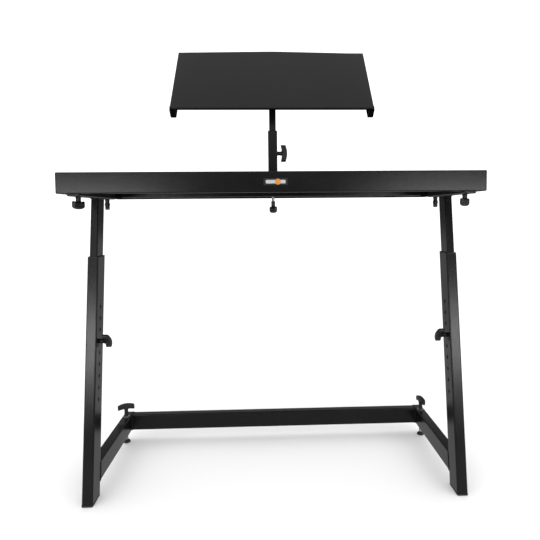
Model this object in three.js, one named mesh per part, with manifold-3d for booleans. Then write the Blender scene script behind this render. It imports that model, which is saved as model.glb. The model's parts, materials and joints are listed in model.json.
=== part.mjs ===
// Keyboard / laptop table stand: height-adjustable leaning legs, sheet-steel tabletop, tilting desk on a post.
// Units are millimetres, +Z is up, +X is to the user's right seen from the front, +Y points to the back.
import * as THREE from 'three';
import Module from 'manifold-3d';
import { mergeVertices } from 'three/addons/utils/BufferGeometryUtils.js';

const wasm = await Module();
wasm.setup();

// ---- driving dimensions -------------------------------------------------------------------
const GAP = 0.3; // clearance left between pieces that touch
const SIDES = { left: -1, right: 1 };

// legs: a rectangular outer tube with a telescoping inner tube, both leaning back
const LEG_X = 430; // centre plane of each leg, rail and top arm
const LEAN = THREE.MathUtils.degToRad(9);
const OUTER = { w: 25, d: 50, wall: 1.5, r: 3 };
const INNER = { w: 18, d: 43, wall: 1.5, r: 2.5 };
const LEG_TOP_Z = 556.5;
const INNER_START = 255; // along the leg, from the floor
const FOOT_THICK = 4;
const HOLE_COUNT = 9;
const HOLE_PITCH = 27;
const HOLE_R = 4.5;
const HOLE_FIRST = 228.5; // along the leg, lowest hole
const KNOB_HOLE = 5; // index of the hole that carries the screw, counted from the lowest

// base: two rails running back from the legs, joined by a crossbar
const RAIL = { w: 25, h: 45, wall: 1.5, r: 3, z: 30.5 };
const RAIL_END_Y = 353;
const CROSSBAR_Y = 340.5;
const LEVELLER_Y = 318;

// top arms and tabletop
const ARM = { w: 25, h: 48, wall: 1.5, r: 3, z: 698, y0: -18, y1: 232 };
const ARM_SCREW_Y = { front: 12, rear: 207 };
const ARM_SCREW_TURN = { front: { left: 97, right: 130 }, rear: { left: 72, right: 109 } };
const TOP = { w: 920, y0: -35, y1: 395, z0: 703, z1: 748, sheet: 1.5, flange: 12 };
const BEAM = { w: 25, h: 42, wall: 1.2, length: 820 };
const BADGE = { w: 52, h: 15, t: 1, x: 2, z: 725.5 };

// desk post and desk
const POST_Y = 275;
const POST_OUTER = { w: 25, wall: 1.5, r: 3, z0: 751.5, z1: 880 };
const POST_INNER = { w: 18, wall: 1.5, r: 2.5, z0: 775, z1: 972 };
const POST_SCREW_Z = 822;
const PIVOT_Z = 997;
const DESK = { w: 520, y0: -123, y1: 120, sheet: 1.5, side: 26, hem: 14.5, crown: 6.5, offset: 30 };
const LIP = { depth: 5.5, height: 9, inset: 1 }; // shallow channel along the desk's lower edge
const DESK_TILT = THREE.MathUtils.degToRad(51); // from horizontal

// hand screws
const STUD_R = 4;
const STEM = { r: 6, length: 10 };
const WING = { length: 46, thick: 11, tip: 8.6, height: 17 };

const Y_CENTRE = (TOP.y0 - GAP - BADGE.t + TOP.y1) / 2;

// ---- helpers ------------------------------------------------------------------------------
function toSolid(geometry) {
  const g = geometry.clone();
  g.deleteAttribute('normal');
  g.deleteAttribute('uv');
  const merged = mergeVertices(g, 1e-4);
  const mesh = new wasm.Mesh({
    numProp: 3,
    vertProperties: new Float32Array(merged.attributes.position.array),
    triVerts: new Uint32Array(merged.index.array),
  });
  return new wasm.Manifold(mesh);
}

function toGeometry(solid) {
  const mesh = solid.getMesh();
  const g = new THREE.BufferGeometry();
  g.setAttribute('position', new THREE.BufferAttribute(new Float32Array(mesh.vertProperties), 3));
  g.setIndex(new THREE.BufferAttribute(new Uint32Array(mesh.triVerts), 1));
  const flat = g.toNonIndexed();
  flat.computeVertexNormals();
  return flat;
}

function cut(base, ...tools) {
  return toGeometry(tools.reduce((solid, tool) => solid.subtract(toSolid(tool)), toSolid(base)));
}

function join(base, ...others) {
  return toGeometry(others.reduce((solid, other) => solid.add(toSolid(other)), toSolid(base)));
}

function box(x0, x1, y0, y1, z0, z1) {
  const g = new THREE.BoxGeometry(x1 - x0, y1 - y0, z1 - z0);
  return g.translate((x0 + x1) / 2, (y0 + y1) / 2, (z0 + z1) / 2);
}

// solid cylinder between two heights along +Z
function rod(r, z0, z1, sides = 16) {
  const g = new THREE.CylinderGeometry(r, r, z1 - z0, sides);
  return g.rotateX(Math.PI / 2).translate(0, 0, (z0 + z1) / 2);
}

function roundRect(path, w, d, r) {
  const x = w / 2;
  const y = d / 2;
  path.moveTo(-x + r, -y);
  path.lineTo(x - r, -y);
  path.absarc(x - r, -y + r, r, -Math.PI / 2, 0, false);
  path.lineTo(x, y - r);
  path.absarc(x - r, y - r, r, 0, Math.PI / 2, false);
  path.lineTo(-x + r, y);
  path.absarc(-x + r, y - r, r, Math.PI / 2, Math.PI, false);
  path.lineTo(-x, -y + r);
  path.absarc(-x + r, -y + r, r, Math.PI, 1.5 * Math.PI, false);
  return path;
}

// rounded bar of the given section standing on z0
function bar(w, d, r, z0, z1) {
  const shape = roundRect(new THREE.Shape(), w, d, r);
  const g = new THREE.ExtrudeGeometry(shape, { depth: z1 - z0, bevelEnabled: false, curveSegments: 2 });
  return g.translate(0, 0, z0);
}

// hollow rectangular tube along +Z
function tube(w, d, wall, r, z0, z1) {
  const shape = roundRect(new THREE.Shape(), w, d, r);
  shape.holes.push(roundRect(new THREE.Path(), w - 2 * wall, d - 2 * wall, Math.max(r - wall, 0.5)));
  const g = new THREE.ExtrudeGeometry(shape, { depth: z1 - z0, bevelEnabled: false, curveSegments: 2 });
  return g.translate(0, 0, z0);
}

const group = new THREE.Group();
group.name = 'table_stand';
group.position.y = -Y_CENTRE;

const FINISH = {
  steel: { color: 0x1b1b1c, metalness: 0.4, roughness: 0.5 },
  plastic: { color: 0x0d0d0e, metalness: 0, roughness: 0.45 },
  rubber: { color: 0x111111, metalness: 0, roughness: 0.85 },
  zinc: { color: 0xb9bcc0, metalness: 1, roughness: 0.35 },
  badge: { color: 0xc9c9c6, metalness: 0.8, roughness: 0.4 },
};

function add(name, geometry, finish, parent = group) {
  const mesh = new THREE.Mesh(geometry, new THREE.MeshStandardMaterial(FINISH[finish]));
  mesh.name = name;
  parent.add(mesh);
  return mesh;
}

// ---- hand screws: a wing grip on a stem, and the threaded stud beyond it ----------------------
// Both are built along +Z, with z = 0 at the face that the stem bears on and the grip above it.
function wingOutline() {
  const tipR = WING.tip / 2;
  const tipX = WING.length / 2 - tipR;
  const shape = new THREE.Shape();
  shape.moveTo(-tipX, -tipR);
  shape.lineTo(-5, -WING.thick / 2);
  shape.lineTo(5, -WING.thick / 2);
  shape.lineTo(tipX, -tipR);
  shape.absarc(tipX, 0, tipR, -Math.PI / 2, Math.PI / 2, false);
  shape.lineTo(5, WING.thick / 2);
  shape.lineTo(-5, WING.thick / 2);
  shape.lineTo(-tipX, tipR);
  shape.absarc(-tipX, 0, tipR, Math.PI / 2, 1.5 * Math.PI, false);
  return shape;
}

function knobGeometry(stem = STEM.length) {
  const bevel = 1.5;
  const grip = new THREE.ExtrudeGeometry(wingOutline(), {
    depth: WING.height - 2 * bevel,
    bevelSize: bevel,
    bevelOffset: -bevel,
    bevelThickness: bevel,
    bevelSegments: 1,
    curveSegments: 3,
  });
  grip.translate(0, 0, stem + bevel);
  return join(grip, rod(STEM.r, 0, stem + 4, 12));
}

// A screw frame: +Z of the returned group points from the part being clamped to the grip.
function screwFrame(name, position, axis) {
  const frame = new THREE.Group();
  frame.name = name;
  frame.position.copy(position);
  frame.quaternion.setFromUnitVectors(new THREE.Vector3(0, 0, 1), axis);
  group.add(frame);
  return frame;
}

function handScrew(name, position, axis, turn, reach, stem) {
  const frame = screwFrame(`${name}_screw`, position, axis);
  const knob = add(`${name}_knob`, knobGeometry(stem), 'plastic', frame);
  knob.rotation.z = THREE.MathUtils.degToRad(turn);
  add(`${name}_stud`, rod(STUD_R, -reach, -GAP, 12), 'zinc', frame);
}

// ---- base and legs --------------------------------------------------------------------------
const legDepth = OUTER.d / Math.cos(LEAN); // front-to-back size of a level section
const legAxisY = legDepth / 2; // where the leg's centreline meets the floor
const leanBack = (g) => g.rotateX(-LEAN);
const alongLeg = (s) => new THREE.Vector3(0, legAxisY + s * Math.sin(LEAN), s * Math.cos(LEAN));
const levelAbove = (z) => box(-60, 60, -300, 600, z, z + 300);
const levelBelow = (z) => box(-60, 60, -300, 600, z - 300, z);

function outerLeg(side) {
  const body = leanBack(tube(OUTER.w, OUTER.d, OUTER.wall, OUTER.r, -20, LEG_TOP_Z * 1.05));
  const tools = [levelAbove(LEG_TOP_Z), levelBelow(FOOT_THICK + GAP)];
  for (let i = 0; i < HOLE_COUNT; i += 1) {
    const at = alongLeg(HOLE_FIRST + i * HOLE_PITCH);
    const hole = rod(HOLE_R, 6, 20, 12).rotateY(-side * Math.PI / 2);
    tools.push(hole.translate(0, at.y - legAxisY, at.z));
  }
  return cut(body, ...tools);
}

function footCap() {
  const plate = bar(OUTER.w + 1, legDepth + 1, OUTER.r, 0, FOOT_THICK);
  const plug = bar(OUTER.w - 2 * OUTER.wall - 1, legDepth - 2 * OUTER.wall - 4, 2, 1, FOOT_THICK + 10);
  return join(plate, plug.translate(0, 1, 0));
}

// plastic sleeve that lines the mouth of a leg's outer tube and carries a collar on top of it
function legBush() {
  const bore = { w: INNER.w + 2 * GAP, d: INNER.d + 2 * GAP };
  const skirtW = OUTER.w - 2 * OUTER.wall - 2 * GAP;
  const skirtD = OUTER.d - 2 * OUTER.wall - 2 * GAP;
  const from = LEG_TOP_Z / Math.cos(LEAN);
  const skirt = leanBack(bar(skirtW, skirtD, 2, from - 50, from + 20));
  const collar = cut(
    leanBack(bar(OUTER.w, OUTER.d, OUTER.r, from - 20, from + 30)),
    levelBelow(LEG_TOP_Z + GAP),
  );
  const opening = leanBack(bar(bore.w, bore.d, INNER.r, from - 80, from + 60));
  return cut(join(skirt, collar), opening, levelAbove(LEG_TOP_Z + 3));
}

function innerLeg() {
  const body = leanBack(tube(INNER.w, INNER.d, INNER.wall, INNER.r, INNER_START, ARM.z * 1.05));
  return cut(body, levelAbove(ARM.z - GAP));
}

// the rail's front end is mitred to the leaning leg
function railGeometry() {
  const length = RAIL_END_Y - GAP;
  const section = tube(RAIL.w, RAIL.h, RAIL.wall, RAIL.r, 0, length).rotateX(-Math.PI / 2);
  section.translate(0, 0, RAIL.z + RAIL.h / 2);
  const leg = leanBack(box(-30, 30, -80, OUTER.d / 2 + GAP, -60, 200));
  const screwHole = rod(HOLE_R, 0, 120, 16).translate(0, LEVELLER_Y, 0);
  return cut(section, leg.translate(0, legAxisY, 0), screwHole);
}

function tubeCap(w, h, wall, r) {
  const plug = bar(w - 2 * wall - 1, h - 2 * wall - 1, 1.5, -12, 1);
  return join(bar(w, h, r, GAP, 2.3), plug);
}

for (const [label, side] of Object.entries(SIDES)) {
  const x = side * LEG_X;
  add(`leg_outer_tube_${label}`, outerLeg(side), 'steel').position.set(x, legAxisY, 0);
  add(`leg_foot_cap_${label}`, footCap(), 'rubber').position.set(x, legAxisY, 0);
  add(`leg_sleeve_bush_${label}`, legBush(), 'plastic').position.set(x, legAxisY, 0);
  add(`leg_inner_tube_${label}`, innerLeg(), 'steel').position.set(x, legAxisY, 0);
  add(`base_rail_${label}`, railGeometry(), 'steel').position.set(x, 0, 0);

  const cap = add(`base_rail_cap_${label}`, tubeCap(RAIL.w, RAIL.h, RAIL.wall, RAIL.r), 'plastic');
  cap.rotation.x = -Math.PI / 2;
  cap.position.set(x, RAIL_END_Y - GAP, RAIL.z + RAIL.h / 2);

  const face = x - side * OUTER.w / 2;
  const screwAt = alongLeg(HOLE_FIRST + KNOB_HOLE * HOLE_PITCH).setX(face - side * GAP);
  const reach = OUTER.wall + GAP + 1.5;
  handScrew(`leg_${label}`, screwAt, new THREE.Vector3(-side, 0, 0), side < 0 ? 42 : 138, reach);
}

const crossbar = tube(RAIL.h, RAIL.w, RAIL.wall, RAIL.r, 0, 2 * (LEG_X - RAIL.w / 2 - GAP));
crossbar.rotateY(Math.PI / 2).translate(-(LEG_X - RAIL.w / 2 - GAP), 0, 0);
add('base_crossbar', crossbar, 'steel').position.set(0, CROSSBAR_Y, RAIL.z + RAIL.h / 2);

// levelling feet: a pad on the floor, a threaded spindle up through the rail, a wing grip on top
const railTop = RAIL.z + RAIL.h;
const WASHER = { r: 9, hole: 4.6, t: 2 };
const PAD_H = 9;
const LEVELLER_STEM = 19;

function padGeometry() {
  const profile = [[0, 0], [9, 0], [10, 1.5], [9.6, 5], [5, PAD_H], [0, PAD_H]];
  return new THREE.LatheGeometry(profile.map(([r, z]) => new THREE.Vector2(r, z)), 20).rotateX(Math.PI / 2);
}

for (const [label, side] of Object.entries(SIDES)) {
  const x = side * LEG_X;
  const gripZ = railTop + GAP + WASHER.t + GAP;
  const washer = cut(rod(WASHER.r, 0, WASHER.t, 24), rod(WASHER.hole, -1, WASHER.t + 1, 16));
  add(`leveller_washer_${label}`, washer, 'zinc').position.set(x, LEVELLER_Y, railTop + GAP);
  add(`leveller_pad_${label}`, padGeometry(), 'rubber').position.set(x, LEVELLER_Y, 0);
  const spindle = rod(STUD_R, PAD_H + GAP, gripZ - GAP, 12);
  add(`leveller_spindle_${label}`, spindle, 'zinc').position.set(x, LEVELLER_Y, 0);
  const grip = add(`leveller_knob_${label}`, knobGeometry(LEVELLER_STEM), 'plastic');
  grip.position.set(x, LEVELLER_Y, gripZ);
  grip.rotation.z = THREE.MathUtils.degToRad(side < 0 ? 20 : 100);
}

// ---- top arms and tabletop --------------------------------------------------------------------
function armGeometry() {
  const length = ARM.y1 - ARM.y0;
  const body = tube(ARM.w, ARM.h, ARM.wall, ARM.r, 0, length).rotateX(-Math.PI / 2);
  const holes = Object.values(ARM_SCREW_Y).map((y) => rod(HOLE_R, -60, 60, 12).translate(0, y - ARM.y0, 0));
  return cut(body, ...holes);
}

for (const [label, side] of Object.entries(SIDES)) {
  const x = side * LEG_X;
  const z = ARM.z + ARM.h / 2;
  add(`top_arm_${label}`, armGeometry(), 'steel').position.set(x, ARM.y0, z);
  const rear = add(`top_arm_rear_cap_${label}`, tubeCap(ARM.w, ARM.h, ARM.wall, ARM.r), 'plastic');
  rear.rotation.x = -Math.PI / 2;
  rear.position.set(x, ARM.y1, z);
  const front = add(`top_arm_front_cap_${label}`, tubeCap(ARM.w, ARM.h, ARM.wall, ARM.r), 'plastic');
  front.rotation.x = Math.PI / 2;
  front.position.set(x, ARM.y0, z);
  for (const [place, y] of Object.entries(ARM_SCREW_Y)) {
    const turn = ARM_SCREW_TURN[place][label];
    const at = new THREE.Vector3(x, y, ARM.z - GAP);
    handScrew(`top_${place}_${label}`, at, new THREE.Vector3(0, 0, -1), turn, ARM.h + GAP - 0.2);
  }
}

// folded tray turned upside down: top sheet, four aprons, and a return flange round the open underside
function tabletop() {
  const x = TOP.w / 2;
  const t = TOP.sheet;
  const outer = box(-x, x, TOP.y0, TOP.y1, TOP.z0, TOP.z1);
  const hollow = box(-x + t, x - t, TOP.y0 + t, TOP.y1 - t, TOP.z0 + t, TOP.z1 - t);
  const f = t + TOP.flange;
  const mouth = box(-x + f, x - f, TOP.y0 + f, TOP.y1 - f, TOP.z0 - 5, TOP.z0 + 5);
  const post = rod(HOLE_R, TOP.z1 - 10, TOP.z1 + 10, 16).translate(0, POST_Y, 0);
  return cut(outer, hollow, mouth, post);
}

add('tabletop_pan', tabletop(), 'steel');

const beamZ = TOP.z1 - TOP.sheet - GAP - BEAM.h / 2;
const beam = tube(BEAM.h, BEAM.w, BEAM.wall, 2, 0, BEAM.length).rotateY(Math.PI / 2).translate(-BEAM.length / 2, 0, 0);
const beamHole = rod(HOLE_R, -40, 40, 12);
add('tabletop_beam', cut(beam, beamHole), 'steel').position.set(0, POST_Y, beamZ);

const badge = bar(BADGE.w, BADGE.h, 2, 0, BADGE.t).rotateX(Math.PI / 2);
add('front_badge', badge, 'badge').position.set(BADGE.x, TOP.y0 - GAP, BADGE.z);

// ---- desk post ----------------------------------------------------------------------------------
const CLAMP_Z = 691; // where the stem of the clamp knob under the tabletop ends
const POST_FOOT = { w: 70, d: 60, t: 3 };
const footZ = TOP.z1 + GAP;
const foot = bar(POST_FOOT.w, POST_FOOT.d, 4, 0, POST_FOOT.t - GAP);
add('post_foot_plate', foot, 'steel').position.set(0, POST_Y, footZ);
add('post_clamp_stud', rod(STUD_R, CLAMP_Z - 8, footZ - GAP, 12), 'zinc').position.set(0, POST_Y, 0);

const clampKnob = cut(knobGeometry(15), rod(STUD_R + GAP, -2, 9, 12));
const clampFrame = screwFrame('post_clamp', new THREE.Vector3(0, POST_Y, CLAMP_Z), new THREE.Vector3(0, 0, -1));
add('post_clamp_knob', clampKnob, 'plastic', clampFrame).rotation.z = THREE.MathUtils.degToRad(72);

const postTube = tube(POST_OUTER.w, POST_OUTER.w, POST_OUTER.wall, POST_OUTER.r, POST_OUTER.z0, POST_OUTER.z1);
const postHole = rod(HOLE_R, 6, 20, 12).rotateY(Math.PI / 2).translate(0, 0, POST_SCREW_Z);
add('post_outer_tube', cut(postTube, postHole), 'steel').position.set(0, POST_Y, 0);

const bushBore = POST_INNER.w + 2 * GAP;
const bushSkirt = POST_OUTER.w - 2 * POST_OUTER.wall - 2 * GAP;
const postBush = cut(
  join(
    bar(bushSkirt, bushSkirt, 2, POST_OUTER.z1 - 35, POST_OUTER.z1 + 1),
    bar(POST_OUTER.w, POST_OUTER.w, POST_OUTER.r, POST_OUTER.z1 + GAP, POST_OUTER.z1 + 2.5),
  ),
  bar(bushBore, bushBore, POST_INNER.r, POST_OUTER.z1 - 60, POST_OUTER.z1 + 20),
);
add('post_sleeve_bush', postBush, 'plastic').position.set(0, POST_Y, 0);

const postInner = tube(POST_INNER.w, POST_INNER.w, POST_INNER.wall, POST_INNER.r, POST_INNER.z0, POST_INNER.z1);
add('post_inner_tube', postInner, 'steel').position.set(0, POST_Y, 0);

const postScrewX = POST_OUTER.w / 2 + GAP;
const postScrewAt = new THREE.Vector3(postScrewX, POST_Y, POST_SCREW_Z);
handScrew('post_height', postScrewAt, new THREE.Vector3(1, 0, 0), 0, POST_OUTER.wall + GAP + 1.5);

// hinge knuckle: a plug in the post's mouth with an eye that the tilt bolt passes through
const TANG = { t: 8, r: 10 };
const BOLT_R = 4;
function knuckle() {
  const plugW = POST_INNER.w - 2 * POST_INNER.wall - 2 * GAP;
  const plug = bar(plugW, plugW, 1.2, POST_INNER.z1 - 25, POST_INNER.z1 + 1);
  const head = bar(POST_INNER.w, POST_INNER.w, 2, POST_INNER.z1 + GAP, POST_INNER.z1 + 5);
  const tang = box(-TANG.t / 2, TANG.t / 2, -POST_INNER.w / 2 + 1, POST_INNER.w / 2 - 1, POST_INNER.z1, PIVOT_Z);
  const eye = rod(TANG.r, -TANG.t / 2, TANG.t / 2, 24).rotateY(Math.PI / 2).translate(0, 0, PIVOT_Z);
  const bore = rod(BOLT_R + GAP, -20, 20, 20).rotateY(Math.PI / 2).translate(0, 0, PIVOT_Z);
  return cut(join(plug, head, tang, eye), bore);
}
add('post_knuckle', knuckle(), 'steel').position.set(0, POST_Y, 0);

// ---- desk -----------------------------------------------------------------------------------------
// Desk frame: origin on the tilt axis, +Y up the slope, +Z out of the reading face.
const desk = new THREE.Group();
desk.name = 'desk';
desk.position.set(0, POST_Y, PIVOT_Z);
desk.rotation.x = DESK_TILT;
group.add(desk);

function deskPanel() {
  const x = DESK.w / 2;
  const { y0, y1, sheet: t } = DESK;
  const outline = new THREE.Shape();
  outline.moveTo(-x, y0);
  outline.lineTo(x, y0);
  outline.lineTo(x, y1);
  outline.lineTo(x * 0.62, y1);
  outline.quadraticCurveTo(0, y1 + 2 * DESK.crown, -x * 0.62, y1);
  outline.lineTo(-x, y1);
  outline.closePath();
  const sheet = new THREE.ExtrudeGeometry(outline, { depth: t, bevelEnabled: false, curveSegments: 8 });
  const lipX = x - LIP.inset;
  const parts = [
    box(-lipX, lipX, y0, y0 + t, 0, LIP.depth),
    box(-lipX, lipX, y0, y0 + LIP.height, LIP.depth - t, LIP.depth),
  ];
  for (const side of [-1, 1]) {
    const wall = [side * x, side * (x - t)].sort((a, b) => a - b);
    const hem = [side * x, side * (x - DESK.hem)].sort((a, b) => a - b);
    parts.push(box(...wall, y0, y1, t - DESK.side, t));
    parts.push(box(...hem, y0, y1, t - DESK.side, 2 * t - DESK.side));
    parts.push(box(...hem, y0, y0 + t, t - DESK.side, t));
  }
  return join(sheet, ...parts).translate(0, 0, DESK.offset - t);
}
add('desk_panel', deskPanel(), 'steel', desk);

// U bracket under the panel: a plate against the sheet and two ears that straddle the knuckle
const EAR = { inner: 5.5, t: 2.5, r: 11 };
function bracket() {
  const top = DESK.offset - DESK.sheet - GAP;
  const plate = bar(90, 60, 4, top - 3, top);
  const ears = [-1, 1].map((side) => {
    const from = side > 0 ? EAR.inner : -EAR.inner - EAR.t;
    const blade = box(from, from + EAR.t, -16, 16, EAR.r * 0.55, top - 1);
    const eye = rod(EAR.r, from, from + EAR.t, 24).rotateY(Math.PI / 2);
    return join(blade, eye);
  });
  const bore = rod(BOLT_R + GAP, -30, 30, 20).rotateY(Math.PI / 2);
  return cut(join(plate, ...ears), bore);
}
add('desk_bracket', bracket(), 'steel', desk);

const earFace = EAR.inner + EAR.t;
const hexHead = new THREE.CylinderGeometry(7.2, 7.2, 5, 6).rotateZ(Math.PI / 2).translate(-earFace - GAP - 2.5, 0, 0);
const bolt = join(hexHead, rod(BOLT_R, -earFace - 3, earFace + GAP, 20).rotateY(Math.PI / 2));
add('desk_tilt_bolt', bolt, 'zinc', desk);

const tiltKnob = add('desk_tilt_knob', knobGeometry(8), 'plastic', desk);
tiltKnob.rotation.y = Math.PI / 2;
tiltKnob.position.set(earFace + 2 * GAP, 0, 0);

export default group;
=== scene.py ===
import json
import math

import bmesh
import bpy
from mathutils import Matrix, Vector, noise

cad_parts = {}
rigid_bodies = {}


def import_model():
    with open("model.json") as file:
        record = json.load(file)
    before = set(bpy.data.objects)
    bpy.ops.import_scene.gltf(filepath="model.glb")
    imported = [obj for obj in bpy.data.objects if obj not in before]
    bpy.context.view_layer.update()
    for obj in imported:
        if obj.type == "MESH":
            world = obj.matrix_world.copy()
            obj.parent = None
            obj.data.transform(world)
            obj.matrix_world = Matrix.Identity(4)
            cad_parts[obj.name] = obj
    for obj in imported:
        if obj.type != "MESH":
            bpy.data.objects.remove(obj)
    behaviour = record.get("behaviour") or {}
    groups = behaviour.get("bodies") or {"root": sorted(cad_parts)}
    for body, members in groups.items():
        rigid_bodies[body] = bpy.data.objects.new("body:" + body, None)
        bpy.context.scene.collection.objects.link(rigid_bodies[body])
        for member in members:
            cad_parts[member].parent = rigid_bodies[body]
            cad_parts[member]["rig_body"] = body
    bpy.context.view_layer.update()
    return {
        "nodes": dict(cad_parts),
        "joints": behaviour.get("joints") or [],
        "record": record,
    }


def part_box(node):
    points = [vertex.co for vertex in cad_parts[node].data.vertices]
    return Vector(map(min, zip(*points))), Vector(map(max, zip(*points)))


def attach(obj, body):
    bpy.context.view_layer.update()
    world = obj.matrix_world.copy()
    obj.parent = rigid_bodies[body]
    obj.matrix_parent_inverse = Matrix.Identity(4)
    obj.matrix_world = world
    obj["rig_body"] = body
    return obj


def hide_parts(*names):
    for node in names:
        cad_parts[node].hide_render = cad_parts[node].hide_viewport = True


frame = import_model()

MM = 0.001
X, Y, Z = Vector((1, 0, 0)), Vector((0, 1, 0)), Vector((0, 0, 1))
SIDES = {"left": -1, "right": 1}
JOINTS = {joint["name"]: joint for joint in frame["joints"]}

# tube sections: width, depth, corner radius and wall, in metres
LEG_OUTER = (25 * MM, 50 * MM, 3.2 * MM, 1.5 * MM)
LEG_INNER = (18 * MM, 43 * MM, 2.6 * MM, 1.5 * MM)
RAIL = (25 * MM, 45 * MM, 3.2 * MM, 1.5 * MM)
ARM = (25 * MM, 48 * MM, 3.2 * MM, 1.5 * MM)
POST_OUTER = (25 * MM, 25 * MM, 3.2 * MM, 1.5 * MM)
POST_INNER = (18 * MM, 18 * MM, 2.6 * MM, 1.5 * MM)
TUBE_STEPS = 8  # facets in each corner of a tube
TUBE_EDGE = 0.4 * MM
GAP = 0.3 * MM
SHEET = 1.5 * MM

MERGE_DISTANCE = 0.005 * MM
LARGE_FACE = 1e-3  # square metres
SHARP_ANGLE = math.radians(40)


# ---- materials -----------------------------------------------------------------------------------


def new_material(name):
    """A material and its shader node."""
    material = bpy.data.materials.new(name)
    material.use_nodes = True
    return material, material.node_tree.nodes["Principled BSDF"]


def add_node(material, kind, **inputs):
    """A node whose named sockets, or else properties, are set to the given values."""
    node = material.node_tree.nodes.new(kind)
    for key, value in inputs.items():
        if key in node.inputs:
            node.inputs[key].default_value = value
        else:
            setattr(node, key, value)
    return node


def link(material, start, end):
    material.node_tree.links.new(start, end)


def noise_at(material, scale, detail=3.0, roughness=0.55):
    """Noise in the piece's own coordinates; scale is in cells per metre."""
    where = add_node(material, "ShaderNodeTexCoord")
    texture = add_node(material, "ShaderNodeTexNoise", Scale=scale, Detail=detail, Roughness=roughness)
    link(material, where.outputs["Object"], texture.inputs["Vector"])
    return texture.outputs["Fac"]


def remap(material, value, low_in, high_in, low, high):
    node = add_node(material, "ShaderNodeMapRange", clamp=True)
    for key, number in zip(("From Min", "From Max", "To Min", "To Max"), (low_in, high_in, low, high)):
        node.inputs[key].default_value = number
    link(material, value, node.inputs["Value"])
    return node.outputs["Result"]


def arithmetic(material, operation, first, second):
    node = add_node(material, "ShaderNodeMath", operation=operation)
    for socket, value in zip(node.inputs, (first, second)):
        if isinstance(value, (int, float)):
            socket.default_value = value
        else:
            link(material, value, socket)
    return node.outputs[0]


def edge_mask(material, radius):
    """1 along sharp edges and 0 on flat faces, from how far a bevelled normal turns from the real one."""
    bevel = add_node(material, "ShaderNodeBevel", samples=4, Radius=radius)
    geometry = add_node(material, "ShaderNodeNewGeometry")
    dot = add_node(material, "ShaderNodeVectorMath", operation="DOT_PRODUCT")
    link(material, bevel.outputs["Normal"], dot.inputs[0])
    link(material, geometry.outputs["Normal"], dot.inputs[1])
    return remap(material, dot.outputs["Value"], 0.995, 0.86, 0.0, 1.0)


def mix_colour(material, factor, first, second):
    node = add_node(material, "ShaderNodeMix", data_type="RGBA")
    for socket, value in zip((node.inputs[6], node.inputs[7]), (first, second)):
        if isinstance(value, tuple):
            socket.default_value = (*value, 1)
        else:
            link(material, value, socket)
    link(material, factor, node.inputs[0])
    return node.outputs[2]


def bumps(material, shader, layers):
    """Chains height fields, given as (height, strength, distance), into the shader's normal."""
    previous = None
    for height, strength, distance in layers:
        node = add_node(material, "ShaderNodeBump", Strength=strength, Distance=distance)
        link(material, height, node.inputs["Height"])
        if previous is not None:
            link(material, previous, node.inputs["Normal"])
        previous = node.outputs["Normal"]
    link(material, previous, shader.inputs["Normal"])


def powder_coat():
    """Satin black powder coat: orange peel, fine speckle, dust in the roughness, rubbed edges."""
    material, shader = new_material("powder_coat")
    cloud = noise_at(material, 9, 4)
    speckle = noise_at(material, 1900, 2)
    scuffs = remap(material, noise_at(material, 60, 6, 0.7), 0.55, 0.72, 0.0, 1.0)
    rubbed = arithmetic(material, "MULTIPLY", edge_mask(material, 0.9 * MM), scuffs)
    body = mix_colour(material, cloud, (0.0018, 0.0018, 0.0019), (0.0038, 0.0038, 0.004))
    worn = arithmetic(material, "MULTIPLY", rubbed, 0.4)
    link(material, mix_colour(material, worn, body, (0.04, 0.04, 0.042)), shader.inputs["Base Color"])
    base_rough = remap(material, cloud, 0.3, 0.7, 0.21, 0.26)
    rough = arithmetic(material, "ADD", base_rough, remap(material, speckle, 0.3, 0.7, -0.03, 0.05))
    link(material, rough, shader.inputs["Roughness"])
    shader.inputs["Specular IOR Level"].default_value = 0.3
    peel = noise_at(material, 420, 2)
    bumps(material, shader, [(peel, 0.16, 0.25 * MM), (speckle, 0.22, 0.06 * MM)])
    return material


def moulded_plastic():
    """Black glass-filled nylon: fine spark-eroded grain, with a painted sheen that lightens the base colour
    along every edge.
    """
    material, shader = new_material("moulded_plastic")
    grain = noise_at(material, 1500, 3, 0.6)
    cloud = noise_at(material, 35, 3)
    # painted sheen: the base colour is made lighter along every edge, standing in for shine on polished high
    # spots
    painted_edge_sheen = arithmetic(material, "MULTIPLY", edge_mask(material, 0.8 * MM), 0.5)
    body = mix_colour(material, cloud, (0.003, 0.003, 0.0032), (0.006, 0.006, 0.0063))
    link(material, mix_colour(material, painted_edge_sheen, body, (0.012, 0.012, 0.0125)), shader.inputs["Base Color"])
    rough = remap(material, arithmetic(material, "ADD", grain, cloud), 0.6, 1.4, 0.34, 0.5)
    link(material, rough, shader.inputs["Roughness"])
    bumps(material, shader, [(grain, 0.3, 0.08 * MM), (cloud, 0.1, 0.3 * MM)])
    return material


def rubber():
    """Matt black rubber with a chalky bloom and tiny pits."""
    material, shader = new_material("rubber")
    bloom = noise_at(material, 55, 5, 0.65)
    pits = noise_at(material, 900, 4, 0.7)
    body = mix_colour(material, bloom, (0.009, 0.009, 0.009), (0.022, 0.021, 0.02))
    link(material, body, shader.inputs["Base Color"])
    link(material, remap(material, bloom, 0.3, 0.7, 0.66, 0.86), shader.inputs["Roughness"])
    bumps(material, shader, [(pits, 0.35, 0.12 * MM)])
    return material


def zinc():
    """Bright zinc plate: fine turning marks, cloudy passivation and a little roughness variation."""
    material, shader = new_material("zinc")
    cloud = noise_at(material, 130, 4, 0.6)
    marks = noise_at(material, 2600, 2)
    body = mix_colour(material, cloud, (0.50, 0.51, 0.52), (0.70, 0.71, 0.72))
    link(material, body, shader.inputs["Base Color"])
    shader.inputs["Metallic"].default_value = 1.0
    link(material, remap(material, cloud, 0.3, 0.7, 0.26, 0.42), shader.inputs["Roughness"])
    bumps(material, shader, [(marks, 0.2, 0.03 * MM), (cloud, 0.1, 0.1 * MM)])
    return material


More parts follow.
